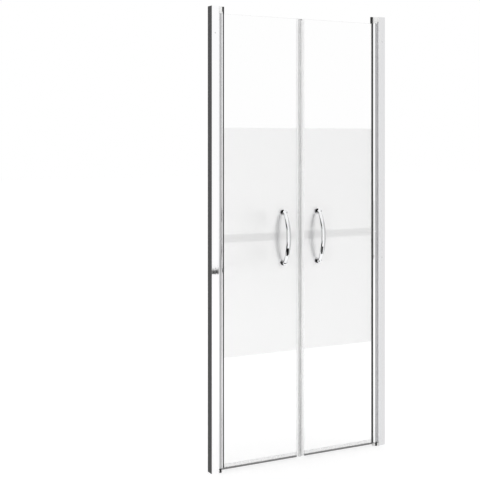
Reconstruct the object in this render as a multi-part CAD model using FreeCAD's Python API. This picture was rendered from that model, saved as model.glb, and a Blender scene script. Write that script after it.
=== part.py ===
"""Double swing shower door: two glass leaves on pivot profiles between two wall profiles.

Millimetres, +Z up. The origin is on the tray, half way between the walls, in the plane of the glass.
The leaves are shut at rest. Front is -Y. The left half is modelled and the right half is its mirror image.
In the functions, u is the distance from the left wall along +X.
"""
import FreeCAD, Part
import math
import os

from FreeCAD import Vector

# Overall sizes
door_width = 860.0
door_height = 1900.0
seam_gap = 0.6
floor_gap = 8.0

# Clearances
slide_gap = 0.3
hinge_gap = 0.3
run_gap = 0.05
overrun = 5.0

# Wall profile: a U channel screwed to the wall
wall_profile_depth = 37.0
wall_profile_reach = 31.6
wall_profile_skin = 1.6
wall_profile_web = 2.0
wall_screw_hole_radius = 2.6
wall_screw_end_distance = 100.0
wall_screw_inner_distance = 670.0

# Carrier profile: slides in the wall profile and faces the pivot
carrier_back_gap = 6.0
carrier_skin = 1.5
carrier_nose = 1.4
port_radius = 4.0
port_from_seat = 5.2
port_rib = 1.5

# Pivot profile: barrel, grooves and lips
pivot_stand = 10.0
barrel_radius = 12.5
seat_gap = 0.8
bore_radius = 5.0
bore_skin = 4.0
slot_skin = 1.5
lip_skin = 2.6
groove_width = 10.0

# Pivot pins
pin_radius = 3.0
pin_grip = 20.0

# Top bearing bracket and the corner block beside it
bracket_height = 21.0
corner_block_height = 29.0
corner_block_depth = 10.0
tower_gap = 0.5
pin_cover = 3.0

# Foot bearing with its front plug, and the bushes at both ends of the pivot profile
foot_height = 12.0
foot_floor = 2.0
foot_plug_width = 9.5
foot_plug_depth = 4.5
bush_flange = 3.0
spigot_length = 22.0

# Screws
lock_screw_radius = 1.75
lock_screw_hole_gap = 0.25
lock_screw_head_radius = 3.2
lock_screw_head_height = 1.8
lock_screw_grip = 4.0
lock_screw_drops = (1066.0, 110.0)
bearing_screw_radius = 2.0
bearing_screw_hole_gap = 0.2
bearing_screw_head_radius = 3.6
bearing_screw_head_height = 3.0
bearing_screw_recess = 1.0
bearing_screw_grip = 12.0
centre_screw_radius = 2.0
centre_screw_head_radius = 4.0
centre_screw_head_height = 2.5
centre_screw_tip = 1.0

# Glass and what is on it
glass_thickness = 6.0
glass_hole_radius = 5.0
gasket_skin = 1.4
gasket_leg = 7.5
gasket_rear_leg = 1.5
band_skin = 0.2
frost_height = 942.0
frost_drop = 9.0
middle_band_height = 38.0

# Magnet seal on the free edge
seal_skin = 1.2
seal_overlap = 12.0
seal_nose = 7.0
magnet_end_gap = 5.0

# Bottom seal and wiper
bottom_overlap = 14.0
wiper_top = 2.0
wiper_fin = 1.4
wiper_fin_count = 3
end_gap = 0.3

# Bow handles
handle_from_seam = 86.0
handle_height = 944.0
handle_spacing = 211.0
handle_reach = 57.0
head_radius = 11.5
head_length = 17.0
head_dome = 3.5
bow_start = 13.8
bow_middle_width = 22.0
bow_neck_width = 15.0
bow_thickness = 13.0
bow_neck_thickness = 11.0
bow_sections = 9
section_points = 16
stud_radius = 3.0
stud_grip = 10.0
washer_skin = 1.0
washer_rim = 1.0
washer_bore_gap = 0.1

# Places worked out from the sizes, measured from the wall
carrier_end = wall_profile_reach + carrier_nose
pivot_u = carrier_end + pivot_stand
seam_u = door_width / 2 - seam_gap / 2
handle_u = door_width / 2 - handle_from_seam
lip_end = pivot_u + barrel_radius
slot_start = pivot_u + bore_radius + slot_skin
glass_start = slot_start + gasket_skin
gasket_end = lip_end + gasket_leg
glass_end = seam_u - seal_nose
seal_start = glass_end - seal_overlap

# Half thicknesses, measured from the plane of the glass
wall_half = wall_profile_depth / 2
carrier_half = wall_half - wall_profile_skin - slide_gap
glass_half = glass_thickness / 2
slot_half = glass_half + gasket_skin
lip_half = slot_half + lip_skin
corner_half = corner_block_depth / 2
groove_floor = bore_radius + bore_skin
seal_half = glass_half + seal_skin
handle_seat = glass_half + band_skin + washer_skin

# Heights, measured from the tray
carrier_top = door_height - bracket_height
glass_top = door_height - corner_block_height
flange_bottom = foot_height + hinge_gap
profile_bottom = flange_bottom + bush_flange
clip_bottom = profile_bottom - seal_skin
glass_middle = (glass_top + profile_bottom) / 2
middle_height = door_height / 2
lock_screw_heights = tuple(door_height - drop for drop in lock_screw_drops)

# Radii and the places of the screws
seat_radius = barrel_radius + seat_gap
tongue_radius = barrel_radius - hinge_gap
cavity_start = wall_profile_web + carrier_back_gap + carrier_skin
cavity_end = pivot_u - seat_radius - carrier_skin
port_u = cavity_end - port_from_seat
lock_screw_u = wall_profile_reach / 2


def x_of(u):
    """The X of a place that is u from the left wall."""
    return u - door_width / 2


def block(u, y, z):
    """A box between two values of u, y and z."""
    corner = Vector(x_of(u[0]), y[0], z[0])
    return Part.makeBox(u[1] - u[0], y[1] - y[0], z[1] - z[0], corner)


def upright(u, radius, z):
    """A standing cylinder in the plane of the glass."""
    return Part.makeCylinder(radius, z[1] - z[0], Vector(x_of(u), 0, z[0]))


def across(u, height, radius, y):
    """A cylinder from front to back."""
    return Part.makeCylinder(radius, y[1] - y[0], Vector(x_of(u), y[0], height), Vector(0, 1, 0))


def fused(first, *others):
    """One solid from several, without the seams between flush faces."""
    return first.fuse(list(others)).removeSplitter()


def wall_profile():
    """The U channel, with the holes for the wall screws and for the lock screws."""
    full = (0, door_height)
    channel = block((0, wall_profile_reach), (-wall_half, wall_half), full)
    inside = wall_half - wall_profile_skin
    room = block((wall_profile_web, wall_profile_reach + overrun), (-inside, inside), full)
    channel = channel.cut(room)
    lower = (wall_screw_end_distance, wall_screw_inner_distance)
    for height in lower + tuple(door_height - low for low in lower):
        start = Vector(x_of(-overrun), 0, height)
        length = wall_profile_web + 2 * overrun
        channel = channel.cut(Part.makeCylinder(wall_screw_hole_radius, length, start, Vector(1, 0, 0)))
    for height in lock_screw_heights:
        radius = lock_screw_radius + lock_screw_hole_gap
        depth = (-wall_half - overrun, -inside + slide_gap)
        channel = channel.cut(across(lock_screw_u, height, radius, depth))
    return channel


def carrier_profile():
    """The hollow profile that slides in the channel, hollowed in front to seat the barrel."""
    tall = (foot_height, carrier_top)
    outer = block((wall_profile_web + carrier_back_gap, carrier_end), (-carrier_half, carrier_half), tall)
    outer = outer.cut(upright(pivot_u, seat_radius, tall))
    inside = carrier_half - carrier_skin
    cavity = block((cavity_start, cavity_end), (-inside, inside), tall)
    rib = block((port_u - port_rib / 2, port_u + port_rib / 2), (-inside, inside), tall)
    port = upright(port_u, port_radius, tall)
    body = outer.cut(cavity.cut(rib).cut(port))
    body = body.cut(upright(port_u, bearing_screw_radius, tall))
    for height in lock_screw_heights:
        depth = (-carrier_half - overrun, -carrier_half + lock_screw_grip)
        body = body.cut(across(lock_screw_u, height, lock_screw_radius, depth))
    return body


def lock_screws():
    """Pan head screws through the front of the channel into the carrier."""
    screws = []
    for height in lock_screw_heights:
        head = across(lock_screw_u, height, lock_screw_head_radius,
                      (-wall_half - lock_screw_head_height, -wall_half))
        shank = across(lock_screw_u, height, lock_screw_radius,
                       (-wall_half, -carrier_half + lock_screw_grip))
        screws.append(fused(head, shank))
    return Part.makeCompound(screws)


def bearing_body(z):
    """The block that closes an end of the carrier, with a round tongue to the pivot axis."""
    core = block((wall_profile_web + carrier_back_gap, carrier_end), (-carrier_half, carrier_half), z)
    neck = block((carrier_end, pivot_u), (-tongue_radius, tongue_radius), z)
    return fused(core, neck, upright(pivot_u, tongue_radius, z))


def screw_room(head_seat, opening, far):
    """What is cut for a bearing screw: its head's recess and its shank's hole."""
    recess = upright(port_u, bearing_screw_head_radius + bearing_screw_hole_gap,
                     (min(head_seat, opening), max(head_seat, opening)))
    hole = upright(port_u, bearing_screw_radius + bearing_screw_hole_gap,
                   (min(head_seat, far), max(head_seat, far)))
    return recess.fuse(hole)


def top_bearing():
    """The bracket that closes the profiles above and holds the upper pin."""
    body = bearing_body((carrier_top, door_height))
    seat = door_height - bearing_screw_recess - bearing_screw_head_height
    body = body.cut(screw_room(seat, door_height + overrun, carrier_top - overrun))
    return body.cut(upright(pivot_u, pin_radius, (carrier_top - overrun, door_height - pin_cover)))


def foot_bearing():
    """The block on the tray that closes the profiles below and holds the lower pin."""
    body = bearing_body((0, foot_height))
    seat = bearing_screw_recess + bearing_screw_head_height
    body = body.cut(screw_room(seat, -overrun, foot_height + overrun))
    body = body.cut(upright(pivot_u, pin_radius, (foot_floor, foot_height + overrun)))
    return body.cut(foot_plug())


def foot_plug():
    """The black plug in the front of the foot's tongue, under the groove of the pivot profile."""
    tall = (0, foot_height)
    width = (pivot_u - foot_plug_width / 2, pivot_u + foot_plug_width / 2)
    room = block(width, (-tongue_radius, foot_plug_depth - tongue_radius), tall)
    return bearing_body(tall).common(room)


def bearing_screws():
    """One screw down through the bracket and one up through the foot, both into the port."""
    top = door_height - bearing_screw_recess
    top_seat = top - bearing_screw_head_height
    upper = fused(upright(port_u, bearing_screw_head_radius, (top_seat, top)),
                  upright(port_u, bearing_screw_radius, (carrier_top - bearing_screw_grip, top_seat)))
    low = bearing_screw_recess
    low_seat = low + bearing_screw_head_height
    lower = fused(upright(port_u, bearing_screw_head_radius, (low, low_seat)),
                  upright(port_u, bearing_screw_radius, (low_seat, foot_height + bearing_screw_grip)))
    return Part.makeCompound([upper, lower])


def top_pin():
    """The pin that hangs from the bracket into the upper bush."""
    return upright(pivot_u, pin_radius, (glass_top - pin_grip + hinge_gap, door_height - pin_cover))


def foot_pin():
    """The pin that stands in the foot bearing and enters the foot bush."""
    return upright(pivot_u, pin_radius, (foot_floor, foot_height + pin_grip))


def pivot_outline(z):
    """The outline of the barrel and its lips."""
    arm = block((pivot_u, lip_end), (-lip_half, lip_half), z)
    return fused(upright(pivot_u, barrel_radius, z), arm)


def pivot_profile():
    """The leaf's extrusion: barrel with a groove at front and rear, bore, and slot for the glass."""
    tall = (profile_bottom, glass_top)
    body = pivot_outline(tall)
    for side in (-1, 1):
        near, far = sorted((side * groove_floor, side * (barrel_radius + overrun)))
        body = body.cut(block((pivot_u - groove_width / 2, pivot_u + groove_width / 2), (near, far), tall))
    body = body.cut(upright(pivot_u, bore_radius, tall))
    body = body.cut(block((slot_start, lip_end + overrun), (-slot_half, slot_half), tall))
    return body.cut(across(pivot_u, middle_height, centre_screw_radius, (-groove_floor - overrun, 0)))


def centre_screw():
    """The bright screw in the front groove at half height."""
    head = across(pivot_u, middle_height, centre_screw_head_radius,
                  (-groove_floor - centre_screw_head_height, -groove_floor))
    tip = -bore_radius + centre_screw_tip
    shank = across(pivot_u, middle_height, centre_screw_radius, (-groove_floor, tip))
    return fused(head, shank)


def top_bush():
    """The grey closing plate of the profile, with a spigot in its bore that turns on the upper pin."""
    plate = pivot_outline((glass_top, carrier_top - hinge_gap))
    spigot = upright(pivot_u, bore_radius, (glass_top - spigot_length, glass_top))
    bore = (glass_top - spigot_length - overrun, carrier_top + overrun)
    return fused(plate, spigot).cut(upright(pivot_u, pin_radius + run_gap, bore))


def corner_block():
    """The black block on the corner of the pane: a foot against the bush and a tower beside the bracket."""
    foot = block((lip_end, gasket_end), (-corner_half, corner_half), (glass_top, carrier_top - hinge_gap))
    tower = block((lip_end + tower_gap, gasket_end), (-corner_half, corner_half), (glass_top, door_height))
    return fused(foot, tower)


def foot_bush():
    """The black closing plate of the profile, with a spigot in its bore that turns on the lower pin."""
    plate = pivot_outline((flange_bottom, profile_bottom))
    spigot = upright(pivot_u, bore_radius, (profile_bottom, profile_bottom + spigot_length))
    bore = (flange_bottom - overrun, profile_bottom + spigot_length + overrun)
    return fused(plate, spigot).cut(upright(pivot_u, pin_radius + run_gap, bore))


def stud_heights():
    """The heights of the two ends of a handle."""
    return (handle_height - handle_spacing / 2, handle_height + handle_spacing / 2)


def without_stud_holes(layer):
    """A layer with the holes for the sleeves round the handle studs."""
    for height in stud_heights():
        depth = (-glass_half - overrun, glass_half + overrun)
        layer = layer.cut(across(handle_u, height, glass_hole_radius, depth))
    return layer


def glass_pane():
    """The toughened pane with its two holes."""
    pane = block((glass_start, glass_end), (-glass_half, glass_half), (profile_bottom, glass_top))
    return without_stud_holes(pane)


def glazing_gasket():
    """The U round the glass's edge. Its front leg runs on past the profile's lips, its rear leg hardly."""
    tall = (profile_bottom, glass_top)
    body = block((slot_start, gasket_end), (-slot_half, slot_half), tall)
    body = body.cut(block((lip_end + gasket_rear_leg, gasket_end + overrun), (0, slot_half + overrun), tall))
    return body.cut(block((glass_start, gasket_end + overrun), (-glass_half, glass_half), tall))


def frosted_band():
    """The satin layer on the front of the glass, over the middle half of its height."""
    middle = glass_middle - frost_drop
    z = (middle - frost_height / 2, middle + frost_height / 2)
    reach = (gasket_end, seal_start)
    return without_stud_holes(block(reach, (-glass_half - band_skin, -glass_half), z))


def middle_band():
    """The grey strip on the rear of the glass at half height."""
    z = (middle_height - middle_band_height / 2, middle_height + middle_band_height / 2)
    return block((gasket_end + end_gap, seal_start - end_gap), (glass_half, glass_half + band_skin), z)


def magnet_room(z):
    """The room in the seal's nose that holds the magnet strip."""
    inside = seal_half - seal_skin
    return block((glass_end + seal_skin, seam_u - seal_skin), (-inside, inside), z)


def magnet_seal():
    """The clear profile that clips over the free edge of the glass."""
    tall = (floor_gap, glass_top)
    body = block((seal_start, seam_u), (-seal_half, seal_half), tall)
    body = body.cut(block((seal_start - overrun, glass_end), (-glass_half, glass_half), tall))
    return body.cut(magnet_room(tall))


def magnet_strip():
    """The magnet in the nose of the seal, a little shorter than the seal."""
    return magnet_room((floor_gap + magnet_end_gap, glass_top - magnet_end_gap))


def bottom_seal():
    """The clear clip on the lower edge of the glass."""
    reach = (gasket_end + end_gap, seal_start - end_gap)
    clip = block(reach, (-seal_half, seal_half), (clip_bottom, profile_bottom + bottom_overlap))
    room = (profile_bottom, profile_bottom + bottom_overlap + overrun)
    return clip.cut(block((reach[0] - overrun, reach[1] + overrun), (-glass_half, glass_half), room))


def bottom_wiper():
    """The soft comb under the clip: a flat back and a row of fins."""
    reach = (lip_end + tower_gap, seal_start - end_gap)
    body = block(reach, (-seal_half, seal_half), (clip_bottom - wiper_top, clip_bottom))
    pitch = (2 * seal_half - wiper_fin) / (wiper_fin_count - 1)
    for index in range(wiper_fin_count):
        front = -seal_half + index * pitch
        body = body.fuse(block(reach, (front, front + wiper_fin), (floor_gap, clip_bottom - wiper_top)))
    return body.removeSplitter()


def oval(centre, outward, width, thickness):
    """A closed smooth oval across the bow: width along X, thickness along the outward direction."""
    points = []
    for index in range(section_points):
        turn = 2 * math.pi * index / section_points
        step = Vector(math.cos(turn) * width / 2, 0, 0) + outward * (math.sin(turn) * thickness / 2)
        points.append(centre + step)
    curve = Part.BSplineCurve()
    curve.interpolate(points, PeriodicFlag=True)
    return Part.Wire([curve.toShape()])


def bow():
    """The curved bar of the front handle, wider in the middle than at its two necks."""
    half_chord = handle_spacing / 2
    apex = handle_reach - bow_thickness / 2
    rise = apex - handle_seat - bow_start
    radius = (half_chord ** 2 + rise ** 2) / (2 * rise)
    half_turn = math.asin(half_chord / radius)
    sections = []
    for index in range(bow_sections):
        share = 2 * index / (bow_sections - 1) - 1
        turn = half_turn * share
        outward = Vector(0, -math.cos(turn), math.sin(turn))
        centre = Vector(x_of(handle_u), radius - apex, handle_height) + outward * radius
        width = bow_middle_width + (bow_neck_width - bow_middle_width) * share ** 2
        thickness = bow_thickness + (bow_neck_thickness - bow_thickness) * share ** 2
        sections.append(oval(centre, outward, width, thickness))
    return Part.makeLoft(sections, True)


def handle_head(height):
    """A round post of the front handle with a low domed front."""
    x = x_of(handle_u)
    rim = -handle_seat - head_length
    seat = Vector(x, -handle_seat, height)
    foot = Vector(x + head_radius, -handle_seat, height)
    side = Vector(x + head_radius, rim, height)
    peak = Vector(x, rim - head_dome, height)
    dome_radius = (head_radius ** 2 + head_dome ** 2) / (2 * head_dome)
    half_turn = math.asin(head_radius / dome_radius) / 2
    middle = peak + Vector(dome_radius * math.sin(half_turn), dome_radius * (1 - math.cos(half_turn)), 0)
    outline = Part.Wire([
        Part.LineSegment(seat, foot).toShape(),
        Part.LineSegment(foot, side).toShape(),
        Part.Arc(side, middle, peak).toShape(),
        Part.LineSegment(peak, seat).toShape(),
    ])
    return Part.Face(outline).revolve(seat, Vector(0, 1, 0), 360)


def handle():
    """The front handle: two posts and the bow, with a threaded hole in each post."""
    low, high = stud_heights()
    body = handle_head(low).fuse([handle_head(high), bow()])
    for height in stud_heights():
        body = body.cut(across(handle_u, height, stud_radius, (-handle_seat - stud_grip, -handle_seat)))
    return body


def rear_of(shape):
    """The same shape on the other side of the glass."""
    return shape.mirror(Vector(0, 0, 0), Vector(0, 1, 0))


def handle_studs():
    """The two threaded studs that join the handles through the glass."""
    reach = handle_seat + stud_grip
    studs = [across(handle_u, height, stud_radius, (-reach, reach)) for height in stud_heights()]
    return Part.makeCompound(studs)


def handle_washers():
    """Plastic washers under the posts, each with a sleeve that fills its half of the hole in the glass."""
    washers = []
    for height in stud_heights():
        for side, face in ((-1, glass_half + band_skin), (1, glass_half)):
            depth = sorted((side * face, side * handle_seat))
            ring = across(handle_u, height, head_radius - washer_rim, depth)
            sleeve = across(handle_u, height, glass_hole_radius, sorted((0, side * face)))
            bore = across(handle_u, height, stud_radius + washer_bore_gap, (-handle_seat, handle_seat))
            washers.append(fused(ring, sleeve).cut(bore))
    return Part.makeCompound(washers)


makers = {
    "wall_profile": wall_profile,
    "carrier_profile": carrier_profile,
    "lock_screws": lock_screws,
    "top_bearing": top_bearing,
    "foot_bearing": foot_bearing,
    "foot_plug": foot_plug,
    "bearing_screws": bearing_screws,
    "top_pin": top_pin,
    "foot_pin": foot_pin,
    "pivot_profile": pivot_profile,
    "centre_screw": centre_screw,
    "top_bush": top_bush,
    "corner_block": corner_block,
    "foot_bush": foot_bush,
    "glazing_gasket": glazing_gasket,
    "glass_pane": glass_pane,
    "frosted_band": frosted_band,
    "middle_band": middle_band,
    "magnet_seal": magnet_seal,
    "magnet_strip": magnet_strip,
    "bottom_seal": bottom_seal,
    "bottom_wiper": bottom_wiper,
    "outer_handle": handle,
    "inner_handle": lambda: rear_of(handle()),
    "handle_studs": handle_studs,
    "handle_washers": handle_washers,
}

os.makedirs("parts", exist_ok=True)
for name, maker in makers.items():
    left = maker()
    right = left.mirror(Vector(0, 0, 0), Vector(1, 0, 0))
    left.exportStep("parts/left_" + name + ".step")
    right.exportStep("parts/right_" + name + ".step")
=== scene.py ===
"""Looks of the double swing shower door: two glass leaves between two wall profiles.

Metres, +Z up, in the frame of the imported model. Front is -Y. The leaves are shut at rest.
"""

import math

import bmesh
import bpy
from mathutils import Matrix, Vector


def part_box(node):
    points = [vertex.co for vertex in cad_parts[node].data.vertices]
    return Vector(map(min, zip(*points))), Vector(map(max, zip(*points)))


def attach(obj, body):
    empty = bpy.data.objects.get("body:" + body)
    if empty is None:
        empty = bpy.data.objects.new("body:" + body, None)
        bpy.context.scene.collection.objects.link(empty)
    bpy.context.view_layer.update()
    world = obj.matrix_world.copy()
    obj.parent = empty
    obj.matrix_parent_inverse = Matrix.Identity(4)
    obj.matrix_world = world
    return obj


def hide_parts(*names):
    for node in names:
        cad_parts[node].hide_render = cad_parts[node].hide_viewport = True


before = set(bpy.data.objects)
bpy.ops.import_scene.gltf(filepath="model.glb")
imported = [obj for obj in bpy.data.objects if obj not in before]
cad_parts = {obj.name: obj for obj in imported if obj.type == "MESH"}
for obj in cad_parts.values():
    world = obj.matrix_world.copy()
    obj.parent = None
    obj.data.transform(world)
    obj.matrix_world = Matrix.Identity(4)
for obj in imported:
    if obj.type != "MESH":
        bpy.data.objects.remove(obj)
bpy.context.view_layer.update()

# Wall profiles. Each is a U channel of extruded aluminium, polished and clear anodised, sawn to length and
# screwed to the wall. The die leaves faint lines along it, and its edges are eased by tumbling.
channel_edge = 0.0004
polish_hex, polish_gloss = "#FCFCFD", (0.1, 0.16)
die_line = (0.0022, 0.0022, 1.5)  # real die lines are a tenth as wide, too fine to show
die_line_depth = 0.000003
noise_low, noise_high = 0.3, 0.7  # nearly all values of a noise lie between these
weld_reach, flat_turn = 0.000001, math.radians(0.5)
bevel_steps, bevel_turn = 2, math.radians(30)
area_weight = 100


def linear(hex_colour):
    """An sRGB hex colour as linear RGBA."""
    shares = [int(hex_colour[i:i + 2], 16) / 255 for i in (1, 3, 5)]
    return tuple(c / 12.92 if c <= 0.04045 else ((c + 0.055) / 1.055) ** 2.4 for c in shares) + (1.0,)


def add_node(tree, kind, inputs=None, **settings):
    """Adds a node. inputs gives each socket a value, or the output that feeds it."""
    node = tree.nodes.new(kind)
    for name, value in settings.items():
        setattr(node, name, value)
    for name, value in (inputs or {}).items():
        if isinstance(value, bpy.types.NodeSocket):
            tree.links.new(value, node.inputs[name])
        else:
            node.inputs[name].default_value = value
    return node


def new_material(name):
    """A material with an empty tree but for its output."""
    material = bpy.data.materials.new(name)
    material.use_nodes = True
    tree = material.node_tree
    tree.nodes.clear()
    return material, tree, tree.nodes.new("ShaderNodeOutputMaterial")


def grained(name, hex_colour, cell, gloss, depth=0.0, **sockets):
    """A material with noise in cells of the given size along X, Y and Z.

    The noise spreads the roughness over gloss and, with a depth, raises a relief. Other values go to the
    sockets of the Principled shader.
    """
    material, tree, output = new_material(name)
    place = add_node(tree, "ShaderNodeTexCoord").outputs["Object"]
    scaled = add_node(tree, "ShaderNodeMapping", {"Vector": place, "Scale": [1 / side for side in cell]})
    noise = add_node(tree, "ShaderNodeTexNoise", {"Vector": scaled.outputs["Vector"], "Scale": 1.0,
                                                  "Detail": 1.0}).outputs["Fac"]
    rough = add_node(tree, "ShaderNodeMapRange", {"Value": noise, "From Min": noise_low,
                                                  "From Max": noise_high, "To Min": gloss[0],
                                                  "To Max": gloss[1]})
    inputs = {"Base Color": linear(hex_colour), "Roughness": rough.outputs["Result"]}
    inputs |= {socket.replace("_", " "): value for socket, value in sockets.items()}
    if depth:
        relief = add_node(tree, "ShaderNodeBump", {"Height": noise, "Distance": depth, "Strength": 1.0})
        inputs["Normal"] = relief.outputs["Normal"]
    shader = add_node(tree, "ShaderNodeBsdfPrincipled", inputs)
    tree.links.new(shader.outputs["BSDF"], output.inputs["Surface"])
    return material


# Polished anodised aluminium: a bright, faintly streaked mirror, softer than chrome.
polished_aluminium = grained("polished_anodised_aluminium", polish_hex, die_line, polish_gloss,
                             die_line_depth, Metallic=1.0)


def clean_copy(node):
    """A copy of a node's mesh with its loose triangles joined and its flat faces whole."""
    shape = bmesh.new()
    shape.from_mesh(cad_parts[node].data)
    bmesh.ops.remove_doubles(shape, verts=shape.verts, dist=weld_reach)
    bmesh.ops.dissolve_limit(shape, angle_limit=flat_turn, verts=shape.verts, edges=shape.edges)
    mesh = bpy.data.meshes.new(node)
    shape.to_mesh(mesh)
    shape.free()
    return mesh


def applied(holder):
    """The plain mesh that an object's modifiers give. The object is removed."""
    view = bpy.context.evaluated_depsgraph_get()
    mesh = bpy.data.meshes.new_from_object(holder.evaluated_get(view), depsgraph=view)
    bpy.data.objects.remove(holder)
    return mesh


def shown(name, data):
    """A new object in the scene."""
    piece = bpy.data.objects.new(name, data)
    bpy.context.scene.collection.objects.link(piece)
    return piece


def eased(mesh, edge):
    """The mesh with its sharp edges rounded and the faces between them left flat."""
    mesh.shade_smooth()
    holder = shown("holder", mesh)
    bevel = holder.modifiers.new("edges", "BEVEL")
    bevel.width = edge
    bevel.segments = bevel_steps
    bevel.limit_method = "ANGLE"
    bevel.angle_limit = bevel_turn
    flat = holder.modifiers.new("flat_faces", "WEIGHTED_NORMAL")
    flat.mode = "FACE_AREA"
    flat.weight = area_weight
    return applied(holder)


def mirrored(mesh):
    """The mesh's mirror image on the other side of the seam."""
    other = mesh.copy()
    other.transform(Matrix.Scale(-1, 4, (1, 0, 0)))
    other.flip_normals()
    return other


def hang(piece, material, body, nodes):
    """Gives a piece its finish and its body, in place of the nodes that it stands for."""
    piece.data.materials.clear()
    piece.data.materials.append(material)
    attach(piece, body)
    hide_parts(*nodes)


def pair(name, mesh, edge, material, body, node):
    """A left piece and its mirror image on the right, each in place of its node.

    A body of side_leaf stands for the leaf on the piece's own side.
    """
    for side, base in (("left", mesh), ("right", mirrored(mesh))):
        piece = shown(side + "_" + name, eased(base, edge) if edge else base)
        hang(piece, material, body.replace("side", side), [side + "_" + node])


pair("wall_channel", clean_copy("left_wall_profile"), channel_edge, polished_aluminium,
     "wall_frame", "wall_profile")

# Carrier profiles. A hollow extrusion of the same aluminium slides in each channel to take up an uneven wall.
# Its front is hollowed to seat the turning barrel, and it is anodised as it left the die, unpolished.
matt_hex, matt_gloss = "#F4F4F5", (0.4, 0.55)

# Matt anodised aluminium: light and satiny, where no polishing wheel has been.
matt_aluminium = grained("matt_anodised_aluminium", matt_hex, die_line, matt_gloss, die_line_depth,
                         Metallic=1.0)
pair("carrier", clean_copy("left_carrier_profile"), channel_edge, matt_aluminium,
     "wall_frame", "carrier_profile")

# Brackets and foot blocks. Each is moulded in light grey ABS, closes its pair of profiles at one end, and
# holds a pin. One screw into the carrier's port fixes it.
moulded_edge = 0.0005
mould_grain = (0.0008, 0.0008, 0.0008)  # the spark-eroded grain of the mould, drawn twice as coarse as it is
mould_depth = 0.00002
grey_hex, grey_gloss = "#FAFAF9", (0.34, 0.46)
abs_index = 1.54

# Light grey ABS: even, slightly soft to the light, with a fine matt grain.
grey_abs = grained("light_grey_moulded_abs", grey_hex, mould_grain, grey_gloss, mould_depth, IOR=abs_index)
pair("top_bracket", clean_copy("left_top_bearing"), moulded_edge, grey_abs,
     "wall_frame", "top_bearing")
pair("foot_block", clean_copy("left_foot_bearing"), moulded_edge, grey_abs,
     "wall_frame", "foot_bearing")

# Upper bushes. Each is moulded in the same grey ABS, is pushed into the top of its stile, and turns on the
# upper pin.
pair("upper_bush", clean_copy("left_top_bush"), moulded_edge, grey_abs,
     "side_leaf", "top_bush")

# Foot plugs, corner blocks and lower bushes. Black moulded acetal plugs the front of each foot, closes each
# stile below, and guards the corner of each pane beside the bracket.
black_hex, black_gloss = "#0E0E0F", (0.3, 0.42)
acetal_index = 1.48
plug_edge = 0.0002

# Black acetal: nearly black, waxy, with the same grain as the bracket.
black_acetal = grained("black_moulded_acetal", black_hex, mould_grain, black_gloss, mould_depth,
                       IOR=acetal_index)
pair("front_plug", clean_copy("left_foot_plug"), plug_edge, black_acetal,
     "wall_frame", "foot_plug")
pair("pane_corner", clean_copy("left_corner_block"), moulded_edge, black_acetal,
     "side_leaf", "corner_block")
pair("lower_bush", clean_copy("left_foot_bush"), moulded_edge, black_acetal,
     "side_leaf", "foot_bush")

# Pins. Each is a ground stainless dowel with broken edges. It is pressed into its bearing, and the leaf's
# bush turns on its free end.
pin_edge = 0.0004
steel_hex, steel_gloss = "#D9D9DA", (0.2, 0.34)
grinding_turn = (0.012, 0.012, 0.0006)
grinding_depth = 0.000002

# Ground stainless steel: grey and bright, with fine turns round the pin.
stainless = grained("ground_stainless_steel", steel_hex, grinding_turn, steel_gloss, grinding_depth,
                    Metallic=1.0)
pair("upper_pin", clean_copy("left_top_pin"), pin_edge, stainless, "wall_frame", "top_pin")
pair("lower_pin", clean_copy("left_foot_pin"), pin_edge, stainless, "wall_frame", "foot_pin")

# Pivot profiles. The stile of each leaf is an aluminium extrusion with a round barrel, a groove at front and
# rear, and a slot that holds the glass. The grooves' floors are matt, and painted a darker grey as shade in
# them.
groove_half = 0.005
# The grooves' floors get this darker grey as painted shade.
groove_shade_hex = "#BEBEBF"
floor_turn = 0.99  # the least share of Y in the normal of a groove's floor

# Groove floors: the carriers' matt satin, painted greyer as the shade that falls in a groove.
painted_groove_shade = grained("groove_floor_painted_shade", groove_shade_hex, die_line, matt_gloss, die_line_depth,
                           Metallic=1.0)
pair("pivot_stile", clean_copy("left_pivot_profile"), channel_edge, polished_aluminium,
     "side_leaf", "pivot_profile")
for side in ("left", "right"):
    stile = bpy.data.objects[side + "_pivot_stile"]
    stile.data.materials.append(painted_groove_shade)
    low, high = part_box(side + "_foot_pin")
    for face in stile.data.polygons:
        aside = abs(face.center.x - (low.x + high.x) / 2)
        # A groove's floor takes the painted shade.
        if aside < groove_half and abs(face.normal.y) > floor_turn:
            face.material_index = 1

# Screws. All are stainless pan heads with a cross recess. Two go through the front of each channel, one sits
# in the groove of each stile, and each carrier's port takes one at either end.
recess_reach_share, recess_width_share = 0.55, 0.2
recess_floor_share, recess_foot_share = 0.45, 0.5
rim_share = 0.35
screw_steps, dome_steps = 24, 6
screw_crease = math.radians(35)
lock_head_height, centre_head_height, port_head_height = 0.0018, 0.0025, 0.003
lock_shank, centre_shank, port_shank = 0.00175, 0.002, 0.002
port_reach = 0.02
spin_seed = 7


def turned(shape, profile, centre, axis, steps):
    """Adds a lathe shape. Its profile is pairs of radius and height, and starts and ends on the axis."""
    axis = Vector(axis)
    aside = axis.orthogonal().normalized()
    rings = []
    for radius, along in profile:
        hub = Vector(centre) + axis * along
        turns = [Matrix.Rotation(2 * math.pi * k / steps, 3, axis) for k in range(steps if radius else 1)]
        rings.append([shape.verts.new(hub + turn @ aside * radius) for turn in turns])
    for near, far in zip(rings, rings[1:]):
        for k in range(steps):
            corners = (near[k % len(near)], near[(k + 1) % steps % len(near)],
                       far[(k + 1) % steps % len(far)], far[k % len(far)])
            shape.faces.new(list(dict.fromkeys(corners)))


def arc(centre, radius, start, end, steps):
    """Points of a flat arc between two angles in degrees."""
    angles = [math.radians(start + (end - start) * k / steps) for k in range(steps + 1)]
    return [(centre[0] + radius * math.cos(a), centre[1] + radius * math.sin(a)) for a in angles]


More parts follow.
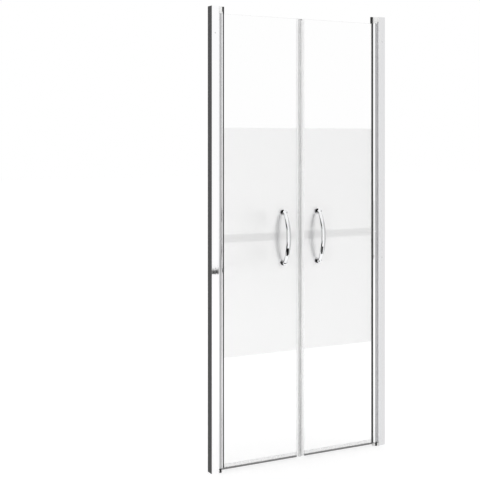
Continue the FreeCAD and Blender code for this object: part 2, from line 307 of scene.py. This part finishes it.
def finished(shape, name):
    """A bmesh as a mesh with its faces outwards. The bmesh is freed."""
    bmesh.ops.recalc_face_normals(shape, faces=shape.faces[:])
    mesh = bpy.data.meshes.new(name)
    shape.to_mesh(mesh)
    shape.free()
    return mesh


def pan_head(radius, height, shank, reach):
    """A screw that faces up with its seat at the origin: domed head, plain shank and cross recess."""
    rim = height * rim_share
    dome = [(radius * x, rim + (height - rim) * y) for x, y in arc((0, 0), 1, 0, 90, dome_steps)]
    dome[-1] = (0, height)
    profile = [(0, -reach), (shank / 2, -reach), (shank, -reach + shank / 2), (shank, 0), (radius, 0)] + dome
    shape = bmesh.new()
    turned(shape, profile, (0, 0, 0), (0, 0, 1), screw_steps)
    holder = shown("holder", finished(shape, "pan_head"))
    cutters = []
    for turn in (0, 90):
        shape = bmesh.new()
        bmesh.ops.create_cube(shape, size=2)
        for corner in shape.verts:
            taper = 1 if corner.co.z > 0 else recess_foot_share
            corner.co.x *= radius * recess_reach_share * taper
            corner.co.y *= radius * recess_width_share * taper
            corner.co.z = 2 * height if corner.co.z > 0 else height * recess_floor_share
        bmesh.ops.rotate(shape, matrix=Matrix.Rotation(math.radians(turn), 3, "Z"), verts=shape.verts)
        cutters.append(shown("cutter", finished(shape, "cutter")))
        cut = holder.modifiers.new("recess", "BOOLEAN")
        cut.operation = "DIFFERENCE"
        cut.object = cutters[-1]
    mesh = applied(holder)
    for cutter in cutters:
        bpy.data.objects.remove(cutter)
    mesh.shade_smooth()
    mesh.set_sharp_from_angle(angle=screw_crease)
    return shown("pan_head", mesh)


# A row of screws: how many, where the first sits, the step to the next, the way the first faces, and the turn
# from each to the next. Each is spun at random, as a screwdriver leaves it.
row_tree = bpy.data.node_groups.new("screw_row", "GeometryNodeTree")
row_tree.interface.new_socket("Geometry", in_out="OUTPUT", socket_type="NodeSocketGeometry")
row_sockets = {}
for name, kind in (("Screw", "Object"), ("Count", "Int"), ("First", "Vector"), ("Step", "Vector"),
                   ("Facing", "Vector"), ("Turn", "Float"), ("Finish", "Material")):
    socket = row_tree.interface.new_socket(name, in_out="INPUT", socket_type="NodeSocket" + kind)
    row_sockets[name] = socket.identifier
given = add_node(row_tree, "NodeGroupInput").outputs
places = add_node(row_tree, "GeometryNodeMeshLine",
                  {"Count": given["Count"], "Start Location": given["First"], "Offset": given["Step"]})
screw = add_node(row_tree, "GeometryNodeObjectInfo", {"Object": given["Screw"]}).outputs["Geometry"]
upright = add_node(row_tree, "FunctionNodeAlignRotationToVector", {"Vector": given["Facing"]}, axis="Z")
row = add_node(row_tree, "GeometryNodeInstanceOnPoints", {"Points": places.outputs["Mesh"], "Instance": screw,
                                                          "Rotation": upright.outputs["Rotation"]})
index = add_node(row_tree, "GeometryNodeInputIndex").outputs["Index"]
over = add_node(row_tree, "ShaderNodeMath", {0: index, 1: given["Turn"]}, operation="MULTIPLY").outputs[0]
spin = add_node(row_tree, "FunctionNodeRandomValue", {2: 0.0, 3: 2 * math.pi, "Seed": spin_seed},
                data_type="FLOAT").outputs[1]
turns = add_node(row_tree, "ShaderNodeCombineXYZ", {"X": over, "Z": spin}).outputs["Vector"]
row = add_node(row_tree, "GeometryNodeRotateInstances", {"Instances": row.outputs["Instances"],
                                                         "Rotation": turns, "Local Space": True})
row = add_node(row_tree, "GeometryNodeRealizeInstances", {"Geometry": row.outputs["Instances"]})
row = add_node(row_tree, "GeometryNodeSetMaterial", {"Geometry": row.outputs["Geometry"],
                                                     "Material": given["Finish"]})
add_node(row_tree, "NodeGroupOutput", {"Geometry": row.outputs["Geometry"]})


def driven(name, node, body, screw, count, first, step, facing, turn):
    """A row of screws in place of a node. The screw that it repeats is removed."""
    holder = shown("holder", bpy.data.meshes.new(name))
    row = holder.modifiers.new("row", "NODES")
    row.node_group = row_tree
    values = {"Screw": screw, "Count": count, "First": first, "Step": step, "Facing": facing, "Turn": turn,
              "Finish": stainless}
    for socket, value in values.items():
        row[row_sockets[socket]] = value
    hang(shown(name, applied(holder)), stainless, body, [node])
    bpy.data.objects.remove(screw)


for side in ("left", "right"):
    low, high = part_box(side + "_lock_screws")
    radius, seat = (high.x - low.x) / 2, low.y + lock_head_height
    driven(side + "_lock_row", side + "_lock_screws", "wall_frame",
           pan_head(radius, lock_head_height, lock_shank, high.y - seat), 2,
           (low.x + radius, seat, low.z + radius), (0, 0, high.z - low.z - 2 * radius), (0, -1, 0), 0.0)
    low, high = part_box(side + "_centre_screw")
    radius, seat = (high.x - low.x) / 2, low.y + centre_head_height
    driven(side + "_groove_screw", side + "_centre_screw", side + "_leaf",
           pan_head(radius, centre_head_height, centre_shank, high.y - seat), 1,
           (low.x + radius, seat, low.z + radius), (0, 0, 0), (0, -1, 0), 0.0)
    low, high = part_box(side + "_bearing_screws")
    radius, seat = (high.x - low.x) / 2, low.z + port_head_height
    driven(side + "_port_screws", side + "_bearing_screws", "wall_frame",
           pan_head(radius, port_head_height, port_shank, port_reach), 2,
           (low.x + radius, 0, seat), (0, 0, high.z - low.z - 2 * port_head_height), (0, 0, -1), math.pi)

# Glass panes. Each is 6 mm clear toughened float glass with two drilled holes. Its edges are ground on a belt
# before the glass is toughened.
glass_edge = 0.0005
glass_hex, glass_gloss, glass_shadow = "#FEFEFE", (0.0, 0.0), 0.96
glass_index = 1.52
roller_wave, roller_depth = (0.3, 0.3, 0.18), 0.000005
ground_hex, ground_gloss, ground_shadow = "#5E6461", (0.3, 0.45), 0.9
grinding_scratch = (0.02, 0.0004, 0.02)
face_turn = 0.9  # the least share of Y in the normal of a pane's two large faces


def lets_lamps_through(material, shade):
    """Lets lamp light through a material, dimmed to the given grey, instead of a full shadow."""
    tree = material.node_tree
    surface = tree.nodes["Material Output"].inputs["Surface"]
    shadow = add_node(tree, "ShaderNodeLightPath").outputs["Is Shadow Ray"]
    clear = add_node(tree, "ShaderNodeBsdfTransparent", {"Color": (shade, shade, shade, 1)}).outputs["BSDF"]
    mix = add_node(tree, "ShaderNodeMixShader", {0: shadow, 1: surface.links[0].from_socket, 2: clear})
    tree.links.new(mix.outputs["Shader"], surface)


# Clear float glass: low in iron, so colourless face on, with the very slight wave of the toughening rollers.
clear_glass = grained("clear_toughened_float_glass", glass_hex, roller_wave, glass_gloss, roller_depth,
                      IOR=glass_index, Transmission_Weight=1.0)
lets_lamps_through(clear_glass, glass_shadow)
pair("pane", clean_copy("left_glass_pane"), glass_edge, clear_glass,
     "side_leaf", "glass_pane")

# Ground glass edge: the same glass under the belt's fine scratches, which scatter light to a soft grey.
ground_edge = grained("ground_glass_edge", ground_hex, grinding_scratch, ground_gloss,
                      IOR=glass_index, Transmission_Weight=1.0)
lets_lamps_through(ground_edge, ground_shadow)
for side in ("left", "right"):
    pane = bpy.data.objects[side + "_pane"]
    pane.data.materials.append(ground_edge)
    for face in pane.data.polygons:
        if abs(face.normal.y) < face_turn:
            face.material_index = 1

# Glazing gaskets. A U of dark soft PVC sits in each stile round the glass. Its front leg runs on past the
# aluminium, and both legs thin out to lips that press on the glass.
gasket_hex, gasket_gloss, gasket_index = "#161617", (0.4, 0.55), 1.52
gasket_line, gasket_depth = (0.001, 0.001, 0.12), 0.00002
gasket_edge = 0.0002
gasket_tip = 0.0006
gasket_play = 0.00006
gasket_lip = 0.0045
gasket_rear_end, gasket_rear_lip = 0.006, 0.001


def extruded(outline, start, end, along, hole=()):
    """A closed outline pushed along Z, where it is given as (x, y), or along X, where it is (y, z)."""
    shape = bmesh.new()
    edges = []
    for loop in filter(None, (outline, hole)):
        points = [shape.verts.new((a, b, start) if along == "Z" else (start, a, b)) for a, b in loop]
        edges += [shape.edges.new((points[k - 1], points[k])) for k in range(len(points))]
    bmesh.ops.triangle_fill(shape, use_beauty=True, edges=edges)
    pushed = bmesh.ops.extrude_face_region(shape, geom=shape.faces[:], use_keep_orig=True)["geom"]
    step = Vector((0, 0, end - start)) if along == "Z" else Vector((end - start, 0, 0))
    bmesh.ops.translate(shape, vec=step, verts=[v for v in pushed if isinstance(v, bmesh.types.BMVert)])
    return finished(shape, "extrusion")


# Soft PVC: dark grey, dull, with drawn lines along its length.
dark_pvc = grained("dark_grey_soft_pvc", gasket_hex, gasket_line, gasket_gloss, gasket_depth,
                   IOR=gasket_index)
low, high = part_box("left_glazing_gasket")
glass_low, glass_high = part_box("left_glass_pane")
bite = glass_high.y + gasket_play
rear_x = high.x - gasket_rear_end
outline = [(rear_x, bite), (rear_x, bite + gasket_tip), (rear_x - gasket_rear_lip, high.y), (low.x, high.y),
           (low.x, -high.y), (high.x - gasket_lip, -high.y), (high.x, -bite - gasket_tip), (high.x, -bite),
           (glass_low.x - gasket_play, -bite), (glass_low.x - gasket_play, bite)]
pair("gasket", extruded(outline, low.z, high.z, "Z"), gasket_edge, dark_pvc,
     "side_leaf", "glazing_gasket")

# Satin and grey layers. The middle half of each pane is satined on the front, and a fine grey screen print
# runs across the back at half height.
layer_play = 0.00006
satin_hex, satin_gloss, satin_shadow = "#FEFEFE", (0.52, 0.6), 0.9
satin_grain, satin_depth = (0.0012, 0.0012, 0.0012), 0.00001
satin_index = 1.3
print_hex = "#F6F6F6"
print_fade = 0.005

# Satined glass: even milky white that blurs what lies behind it, with the faint grain of the etching.
satin = grained("satined_glass_face", satin_hex, satin_grain, satin_gloss, satin_depth,
                IOR=satin_index, Transmission_Weight=1.0)
lets_lamps_through(satin, satin_shadow)

# Grey screen print: a light film that dims the light and fades out along both edges.
screen_print, tree, output = new_material("grey_screen_print")
low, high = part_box("left_middle_band")
middle = (low.z + high.z) / 2
height = add_node(tree, "ShaderNodeSeparateXYZ",
                  {0: add_node(tree, "ShaderNodeTexCoord").outputs["Object"]}).outputs["Z"]
apart = add_node(tree, "ShaderNodeMath", {0: height, 1: middle}, operation="SUBTRACT").outputs[0]
apart = add_node(tree, "ShaderNodeMath", {0: apart}, operation="ABSOLUTE").outputs[0]
print_half = (high.z - low.z) / 2
fade = add_node(tree, "ShaderNodeMapRange", {"Value": apart, "From Min": print_half - print_fade,
                                             "From Max": print_half}, interpolation_type="SMOOTHSTEP")
tint = add_node(tree, "ShaderNodeMix", {0: fade.outputs["Result"], 6: linear(print_hex), 7: (1, 1, 1, 1)},
                data_type="RGBA").outputs[2]
film = add_node(tree, "ShaderNodeBsdfTransparent", {"Color": tint})
tree.links.new(film.outputs["BSDF"], output.inputs["Surface"])


def layer(node):
    """A copy of a layer, a hair clear of the glass that it lies on."""
    mesh = clean_copy(node)
    low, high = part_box(node)
    outside = max(abs(low.y), abs(high.y))
    for vertex in mesh.vertices:
        if abs(vertex.co.y) < (glass_high.y + outside) / 2:
            vertex.co.y = math.copysign(glass_high.y + layer_play, vertex.co.y)
    return mesh


pair("satin_face", layer("left_frosted_band"), 0, satin, "side_leaf", "frosted_band")
pair("print_band", layer("left_middle_band"), 0, screen_print, "side_leaf", "middle_band")

# Magnet seals. An extruded profile of milky clear PVC clips over the free edge of each pane, and a magnet
# strip is drawn into its nose.
seal_hex, seal_gloss, seal_shadow = "#FEFEFE", (0.2, 0.3), 0.97
seal_line, seal_depth = (0.002, 0.002, 0.2), 0.00001
seal_index, seal_clarity = 1.3, 0.95
seal_edge = 0.00015
seal_play = 0.00006
seal_tip = 0.0005
seal_taper = 0.003
seal_corner = 0.0008
magnet_hex, magnet_gloss = "#FEFEFE", (0.55, 0.7)
magnet_grain, magnet_depth = (0.001, 0.001, 0.004), 0.00002
magnet_edge = 0.0003
rubber_index = 1.5

# Milky clear PVC: lets light through, softly, and has a wet gloss.
milky_pvc = grained("milky_clear_pvc", seal_hex, seal_line, seal_gloss, seal_depth,
                    IOR=seal_index, Transmission_Weight=seal_clarity)
lets_lamps_through(milky_pvc, seal_shadow)

# Magnetic rubber: dull, in a white skin that hides the ferrite.
magnet_rubber = grained("white_magnetic_rubber", magnet_hex, magnet_grain, magnet_gloss, magnet_depth,
                        IOR=rubber_index)

low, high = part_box("left_magnet_seal")
magnet_low, magnet_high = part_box("left_magnet_strip")
bite = glass_high.y + seal_play
leg = [(low.x, bite), (low.x, bite + seal_tip), (low.x + seal_taper, high.y),
       (high.x - seal_corner, high.y), (high.x, high.y - seal_corner)]
outline = leg + [(x, -y) for x, y in reversed(leg)] + [(glass_high.x + seal_play, -bite),
                                                       (glass_high.x + seal_play, bite)]
room_y = magnet_high.y + seal_play
room = [(magnet_low.x - seal_play, -room_y), (magnet_high.x + seal_play, -room_y),
        (magnet_high.x + seal_play, room_y), (magnet_low.x - seal_play, room_y)]
pair("magnet_profile", extruded(outline, low.z, high.z, "Z", room), seal_edge, milky_pvc,
     "side_leaf", "magnet_seal")
pair("magnet", clean_copy("left_magnet_strip"), magnet_edge, magnet_rubber,
     "side_leaf", "magnet_strip")

# Bottom seals. A clip of the same milky PVC grips the lower edge of the glass, and a comb of softer grey fins
# under it wipes the tray.
fin_hex, fin_gloss = "#8C8C8C", (0.4, 0.55)
fin_line, fin_depth = (0.1, 0.001, 0.001), 0.00001
comb_back, comb_edge = 0.002, 0.0001
fin_root, fin_tip = 0.0013, 0.0005
fins = ((-0.66, -0.0009), (0.0, 0.0), (0.66, 0.0009))  # each one's share of the half depth, and its lean

# Soft grey PVC: matt, with drawn lines along the fins.
grey_pvc = grained("soft_grey_pvc", fin_hex, fin_line, fin_gloss, fin_depth, IOR=rubber_index)

low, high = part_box("left_bottom_seal")
wiper_low, wiper_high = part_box("left_bottom_wiper")
leg = [(bite, high.z), (bite + seal_tip, high.z), (high.y, high.z - seal_taper), (high.y, low.z)]
outline = leg + [(-y, z) for y, z in reversed(leg)] + [(-bite, glass_low.z - seal_play),
                                                       (bite, glass_low.z - seal_play)]
pair("bottom_clip", extruded(outline, low.x, high.x, "X"), seal_edge, milky_pvc,
     "side_leaf", "bottom_seal")
back_z = wiper_high.z - comb_back
bend_z = (back_z + wiper_low.z) / 2
bend_half = (fin_root + fin_tip) / 4
comb = [(-wiper_high.y, wiper_high.z), (-wiper_high.y, back_z)]
for share, lean in fins:
    root_y = share * wiper_high.y
    tip_y = root_y + lean
    bend_y = (3 * root_y + tip_y) / 4
    comb += [(root_y - fin_root / 2, back_z), (bend_y - bend_half, bend_z),
             (tip_y - fin_tip / 2, wiper_low.z), (tip_y + fin_tip / 2, wiper_low.z),
             (bend_y + bend_half, bend_z), (root_y + fin_root / 2, back_z)]
comb += [(wiper_high.y, back_z), (wiper_high.y, wiper_high.z)]
pair("wiper_comb", extruded(comb, wiper_low.x, wiper_high.x, "X"), comb_edge, grey_pvc,
     "side_leaf", "bottom_wiper")

# Bow handles. Each is cast in zinc as two round posts and a bow that is wider in the middle, then polished
# and chrome plated.
bow_start = 0.0138  # from the glass end of a post to the middle of the bow's end
bow_width, neck_width = 0.022, 0.015
bow_thickness, neck_thickness = 0.013, 0.011
head_length, head_dome, head_corner = 0.017, 0.0035, 0.0012
head_steps, head_dome_steps = 64, 8
corner_turn = 4  # degrees of the dome that the rounded corner takes up
bow_rings, ring_points = 65, 32
casting_grid = 0.0008
polish_share, polish_rounds = 0.5, 8
chrome_hex, chrome_gloss = "#F4F5F6", (0.03, 0.06)
chrome_wave, chrome_depth = (0.02, 0.02, 0.03), 0.00001

low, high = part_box("left_outer_handle")
head_radius = (high.x - low.x) / 2
handle_x = (high.x + low.x) / 2
handle_z = (high.z + low.z) / 2
half_chord = (high.z - low.z) / 2 - head_radius
apex = -low.y - bow_thickness / 2
rise = apex + high.y - bow_start
bow_radius = (half_chord ** 2 + rise ** 2) / (2 * rise)
half_turn = math.asin(half_chord / bow_radius)
dome_radius = (head_radius ** 2 + head_dome ** 2) / (2 * head_dome)
dome_turn = math.degrees(math.asin(head_radius / dome_radius))
dome_centre = (head_length + head_dome - dome_radius, 0)
dome = arc(dome_centre, dome_radius, dome_turn - corner_turn, 0, head_dome_steps)
head_profile = [(0, 0), (head_radius, 0), (head_radius, head_length - head_corner)]
head_profile += [(radius, along) for along, radius in dome[:-1]] + [(0, head_length + head_dome)]

shape = bmesh.new()
for side in (-1, 1):
    turned(shape, head_profile, (handle_x, high.y, handle_z + side * half_chord), (0, -1, 0), head_steps)
rings = []
for index in range(bow_rings):
    share = 2 * index / (bow_rings - 1) - 1
    turn = half_turn * share
    outward = Vector((0, -math.cos(turn), math.sin(turn)))
    centre = Vector((handle_x, bow_radius - apex, handle_z)) + outward * bow_radius
    width = bow_width + (neck_width - bow_width) * share ** 2
    thickness = bow_thickness + (neck_thickness - bow_thickness) * share ** 2
    angles = [2 * math.pi * k / ring_points for k in range(ring_points)]
    rings.append([shape.verts.new(centre + Vector((math.cos(a) * width / 2, 0, 0))
                                  + outward * math.sin(a) * thickness / 2) for a in angles])
for near, far in zip(rings, rings[1:]):
    for k in range(ring_points):
        shape.faces.new((near[k - 1], near[k], far[k], far[k - 1]))
shape.faces.new(rings[0])
shape.faces.new(rings[-1])
holder = shown("holder", finished(shape, "handle"))
grid = holder.modifiers.new("casting", "REMESH")
grid.mode = "VOXEL"
grid.voxel_size = casting_grid
grid.use_smooth_shade = True
polish = holder.modifiers.new("polishing", "SMOOTH")
polish.factor = polish_share
polish.iterations = polish_rounds
handle_mesh = applied(holder)

# Chrome plate: a clear, cold mirror with the faintest waviness of hand polishing.
chrome = grained("bright_chrome_plate", chrome_hex, chrome_wave, chrome_gloss, chrome_depth, Metallic=1.0)

rear_mesh = handle_mesh.copy()
rear_mesh.transform(Matrix.Scale(-1, 4, (0, 1, 0)))
rear_mesh.flip_normals()
pair("outer_bow", handle_mesh, 0, chrome, "side_leaf", "outer_handle")
pair("inner_bow", rear_mesh, 0, chrome, "side_leaf", "inner_handle")

# Studs and washers. Stainless studs join the bows through the glass, and clear polycarbonate washers with
# sleeves keep metal off glass.
washer_hex, washer_gloss, washer_shadow = "#E8E8E8", (0.15, 0.25), 0.8
washer_grain = (0.002, 0.002, 0.002)
washer_index, washer_clarity = 1.45, 0.8

# Clear polycarbonate: glassy with a slight haze.
polycarbonate = grained("clear_polycarbonate", washer_hex, washer_grain, washer_gloss,
                        IOR=washer_index, Transmission_Weight=washer_clarity)
lets_lamps_through(polycarbonate, washer_shadow)
pair("washers", clean_copy("left_handle_washers"), 0, polycarbonate,
     "side_leaf", "handle_washers")
for side in ("left", "right"):
    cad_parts[side + "_handle_studs"].data.materials[0] = stainless

# Stage. A pale floor, a white studio and a camera at the photograph's angle. Grey flags and dark cards stand
# where only polished metal shows them, and give it the edges that an all-white room would wash out.
bpy.context.scene.view_settings.view_transform = "Standard"
floor_side, floor_hex, floor_lift = 60.0, "#C8C8C8", 0.52
scattered_share = 0.85  # how bright the white room is to matt things


def seen(tree):
    """1 for rays from the camera, a reflection or the glass, and 0 for scattered light."""
    rays = add_node(tree, "ShaderNodeLightPath").outputs
    either = add_node(tree, "ShaderNodeMath", {0: rays["Is Camera Ray"], 1: rays["Is Glossy Ray"]},
                      operation="MAXIMUM").outputs[0]
    return add_node(tree, "ShaderNodeMath", {0: either, 1: rays["Is Transmission Ray"]},
                    operation="MAXIMUM").outputs[0]


# Pale floor: matt, and lifted to white where it is seen, so that it ends nowhere.
pale, tree, output = new_material("pale_floor")
cover = add_node(tree, "ShaderNodeBsdfDiffuse", {"Color": linear(floor_hex)}).outputs[0]
lift = add_node(tree, "ShaderNodeMath", {0: seen(tree), 1: floor_lift}, operation="MULTIPLY").outputs[0]
lift = add_node(tree, "ShaderNodeEmission", {"Strength": lift}).outputs[0]
both = add_node(tree, "ShaderNodeAddShader", {0: cover, 1: lift}).outputs[0]
tree.links.new(both, output.inputs["Surface"])
shape = bmesh.new()
bmesh.ops.create_grid(shape, size=floor_side / 2)
floor = shown("floor", finished(shape, "floor"))
floor.data.materials.append(pale)


def flag(name, corners, grey):
    """A sheet that shows only where something polished reflects it, in front of the glass."""
    mesh = bpy.data.meshes.new(name)
    mesh.from_pydata(corners, [], [(0, 1, 2, 3)])
    sheet = shown(name, mesh)
    material, tree, output = new_material(name)
    rays = add_node(tree, "ShaderNodeLightPath").outputs
    passed = add_node(tree, "ShaderNodeMath", {0: rays["Transmission Depth"], 1: 1.0},
                      operation="MINIMUM").outputs[0]
    behind = add_node(tree, "ShaderNodeMath", {0: passed, 1: rays["Is Transmission Ray"]},
                      operation="SUBTRACT", use_clamp=True).outputs[0]
    once = add_node(tree, "ShaderNodeMath", {0: rays["Glossy Depth"], 1: 1.0}, operation="MINIMUM").outputs[0]
    in_front = add_node(tree, "ShaderNodeMath", {0: once, 1: behind},
                        operation="SUBTRACT", use_clamp=True).outputs[0]
    clear = add_node(tree, "ShaderNodeBsdfTransparent").outputs[0]
    glow = add_node(tree, "ShaderNodeEmission", {"Color": (grey, grey, grey, 1)}).outputs[0]
    mix = add_node(tree, "ShaderNodeMixShader", {0: in_front, 1: clear, 2: glow}).outputs[0]
    tree.links.new(mix, output.inputs["Surface"])
    mesh.materials.append(material)
    sheet.visible_camera = sheet.visible_diffuse = sheet.visible_shadow = False


def card(name, low, high, grey, aside=0.0):
    """A flag between two corners that share one coordinate, moved aside along X."""
    corners = []
    first, second = [axis for axis in range(3) if low[axis] != high[axis]]
    for across, up in ((0, 0), (1, 0), (1, 1), (0, 1)):
        corner = Vector(low)
        corner[first] = (low, high)[across][first]
        corner[second] = (low, high)[up][second]
        corners.append(corner + Vector((aside, 0, 0)))
    flag(name, corners, grey)


# Flags round the door, seen only in reflections as painted light and shade. The dark ones give the left
# channel its black side, and the pale ones shade the right channel's face and the profiles' sides.
dark, pale_grey, side_grey = 0.09, 0.78, 0.4
sheet_z = 0.002  # how high the flags on the floor lie
card("left_flag", (-6.0, 2.9, 0), (-0.6, 2.9, 5.0), dark)
card("jamb_flag", (0.468, -0.12, 0), (0.52, -0.12, 2.0), pale_grey)
card("left_side_flag", (-6.0, -0.2, 0), (-6.0, 0.2, 4.0), side_grey)
card("right_side_flag", (6.0, -0.2, 0), (6.0, 0.2, 4.0), side_grey)
flag("low_flag", [(-0.5, 0.02, sheet_z), (0.5, 0.02, sheet_z), (-0.6, 2.9, sheet_z), (-6.0, 2.9, sheet_z)],
     dark)
card("foot_flag", (-0.5, -0.018, sheet_z), (-0.431, 0.03, sheet_z), dark)
card("jamb_foot", (0.4, -0.12, sheet_z), (0.52, -0.019, sheet_z), pale_grey)

# Cards round each handle, with X from the middle of its bow. Seen only in the chrome, they glow as painted
# reflections that draw the black necks and heads and the grey flanks.
for side in (-1, 1):
    for name, low, high, grey in (
            ("neck_card", (-0.075, -0.19, 1.003), (-0.075, -0.01, 1.056), 0.02),
            ("middle_card", (-0.075, -0.19, 0.9), (-0.075, -0.01, 1.003), 0.6),
            ("neck_card", (-0.075, -0.19, 0.852), (-0.075, -0.01, 0.9), 0.02),
            ("right_card", (0.075, -0.19, 0.82), (0.075, -0.01, 1.07), 0.62),
            ("under_card", (-0.3, -0.228, 0.8), (0.05, -0.097, 0.8), 0.01),
            ("upper_head_card", (-0.022, -0.0037, 1.043), (0.001, -0.0037, 1.07), 0.01),
            ("lower_head_card", (-0.022, -0.0037, 0.818), (0.001, -0.0037, 0.845), 0.01)):
        card(name, low, high, grey, side * abs(handle_x))

# Softboxes: key, fill and rear lamp, each square and turned to the middle of the door.
box_side = 2.2
door_middle = Vector((0, 0, 0.95))
for name, place, radiance in (("key_lamp", (-3.0, -3.6, 3.4), 2.4),
                              ("fill_lamp", (3.4, -2.4, 2.6), 1.3),
                              ("rear_lamp", (1.2, 4.0, 3.4), 1.2)):
    lamp = bpy.data.lights.new(name, "AREA")
    lamp.size = box_side
    lamp.energy = radiance * math.pi * box_side ** 2
    softbox = shown(name, lamp)
    softbox.location = place
    softbox.visible_glossy = softbox.visible_transmission = False
    softbox.rotation_euler = (door_middle - softbox.location).to_track_quat("-Z", "Y").to_euler()

# Camera, as fitted to the photograph's edges.
camera_place = (-2.276, -3.707, 1.354)
camera_turn = 28.17
camera_lens, sensor_width = 76.42, 36.0
horizon_row, picture_side = 140.29, 480
camera = shown("camera", bpy.data.cameras.new("camera"))
camera.location = camera_place
camera.rotation_euler = (math.radians(90), 0, -math.radians(camera_turn))
camera.data.lens = camera_lens
camera.data.sensor_width = sensor_width
camera.data.shift_y = (horizon_row - picture_side / 2) / picture_side
bpy.context.scene.camera = camera

# White studio: full white to the camera, in reflections and through the glass, a little less as light.
world = bpy.data.worlds.new("studio")
bpy.context.scene.world = world
world.use_nodes = True
tree = world.node_tree
tree.nodes.clear()
strength = add_node(tree, "ShaderNodeMapRange", {"Value": seen(tree), "To Min": scattered_share})
sky = add_node(tree, "ShaderNodeBackground", {"Color": (1, 1, 1, 1), "Strength": strength.outputs["Result"]})
tree.links.new(sky.outputs[0], add_node(tree, "ShaderNodeOutputWorld").inputs["Surface"])
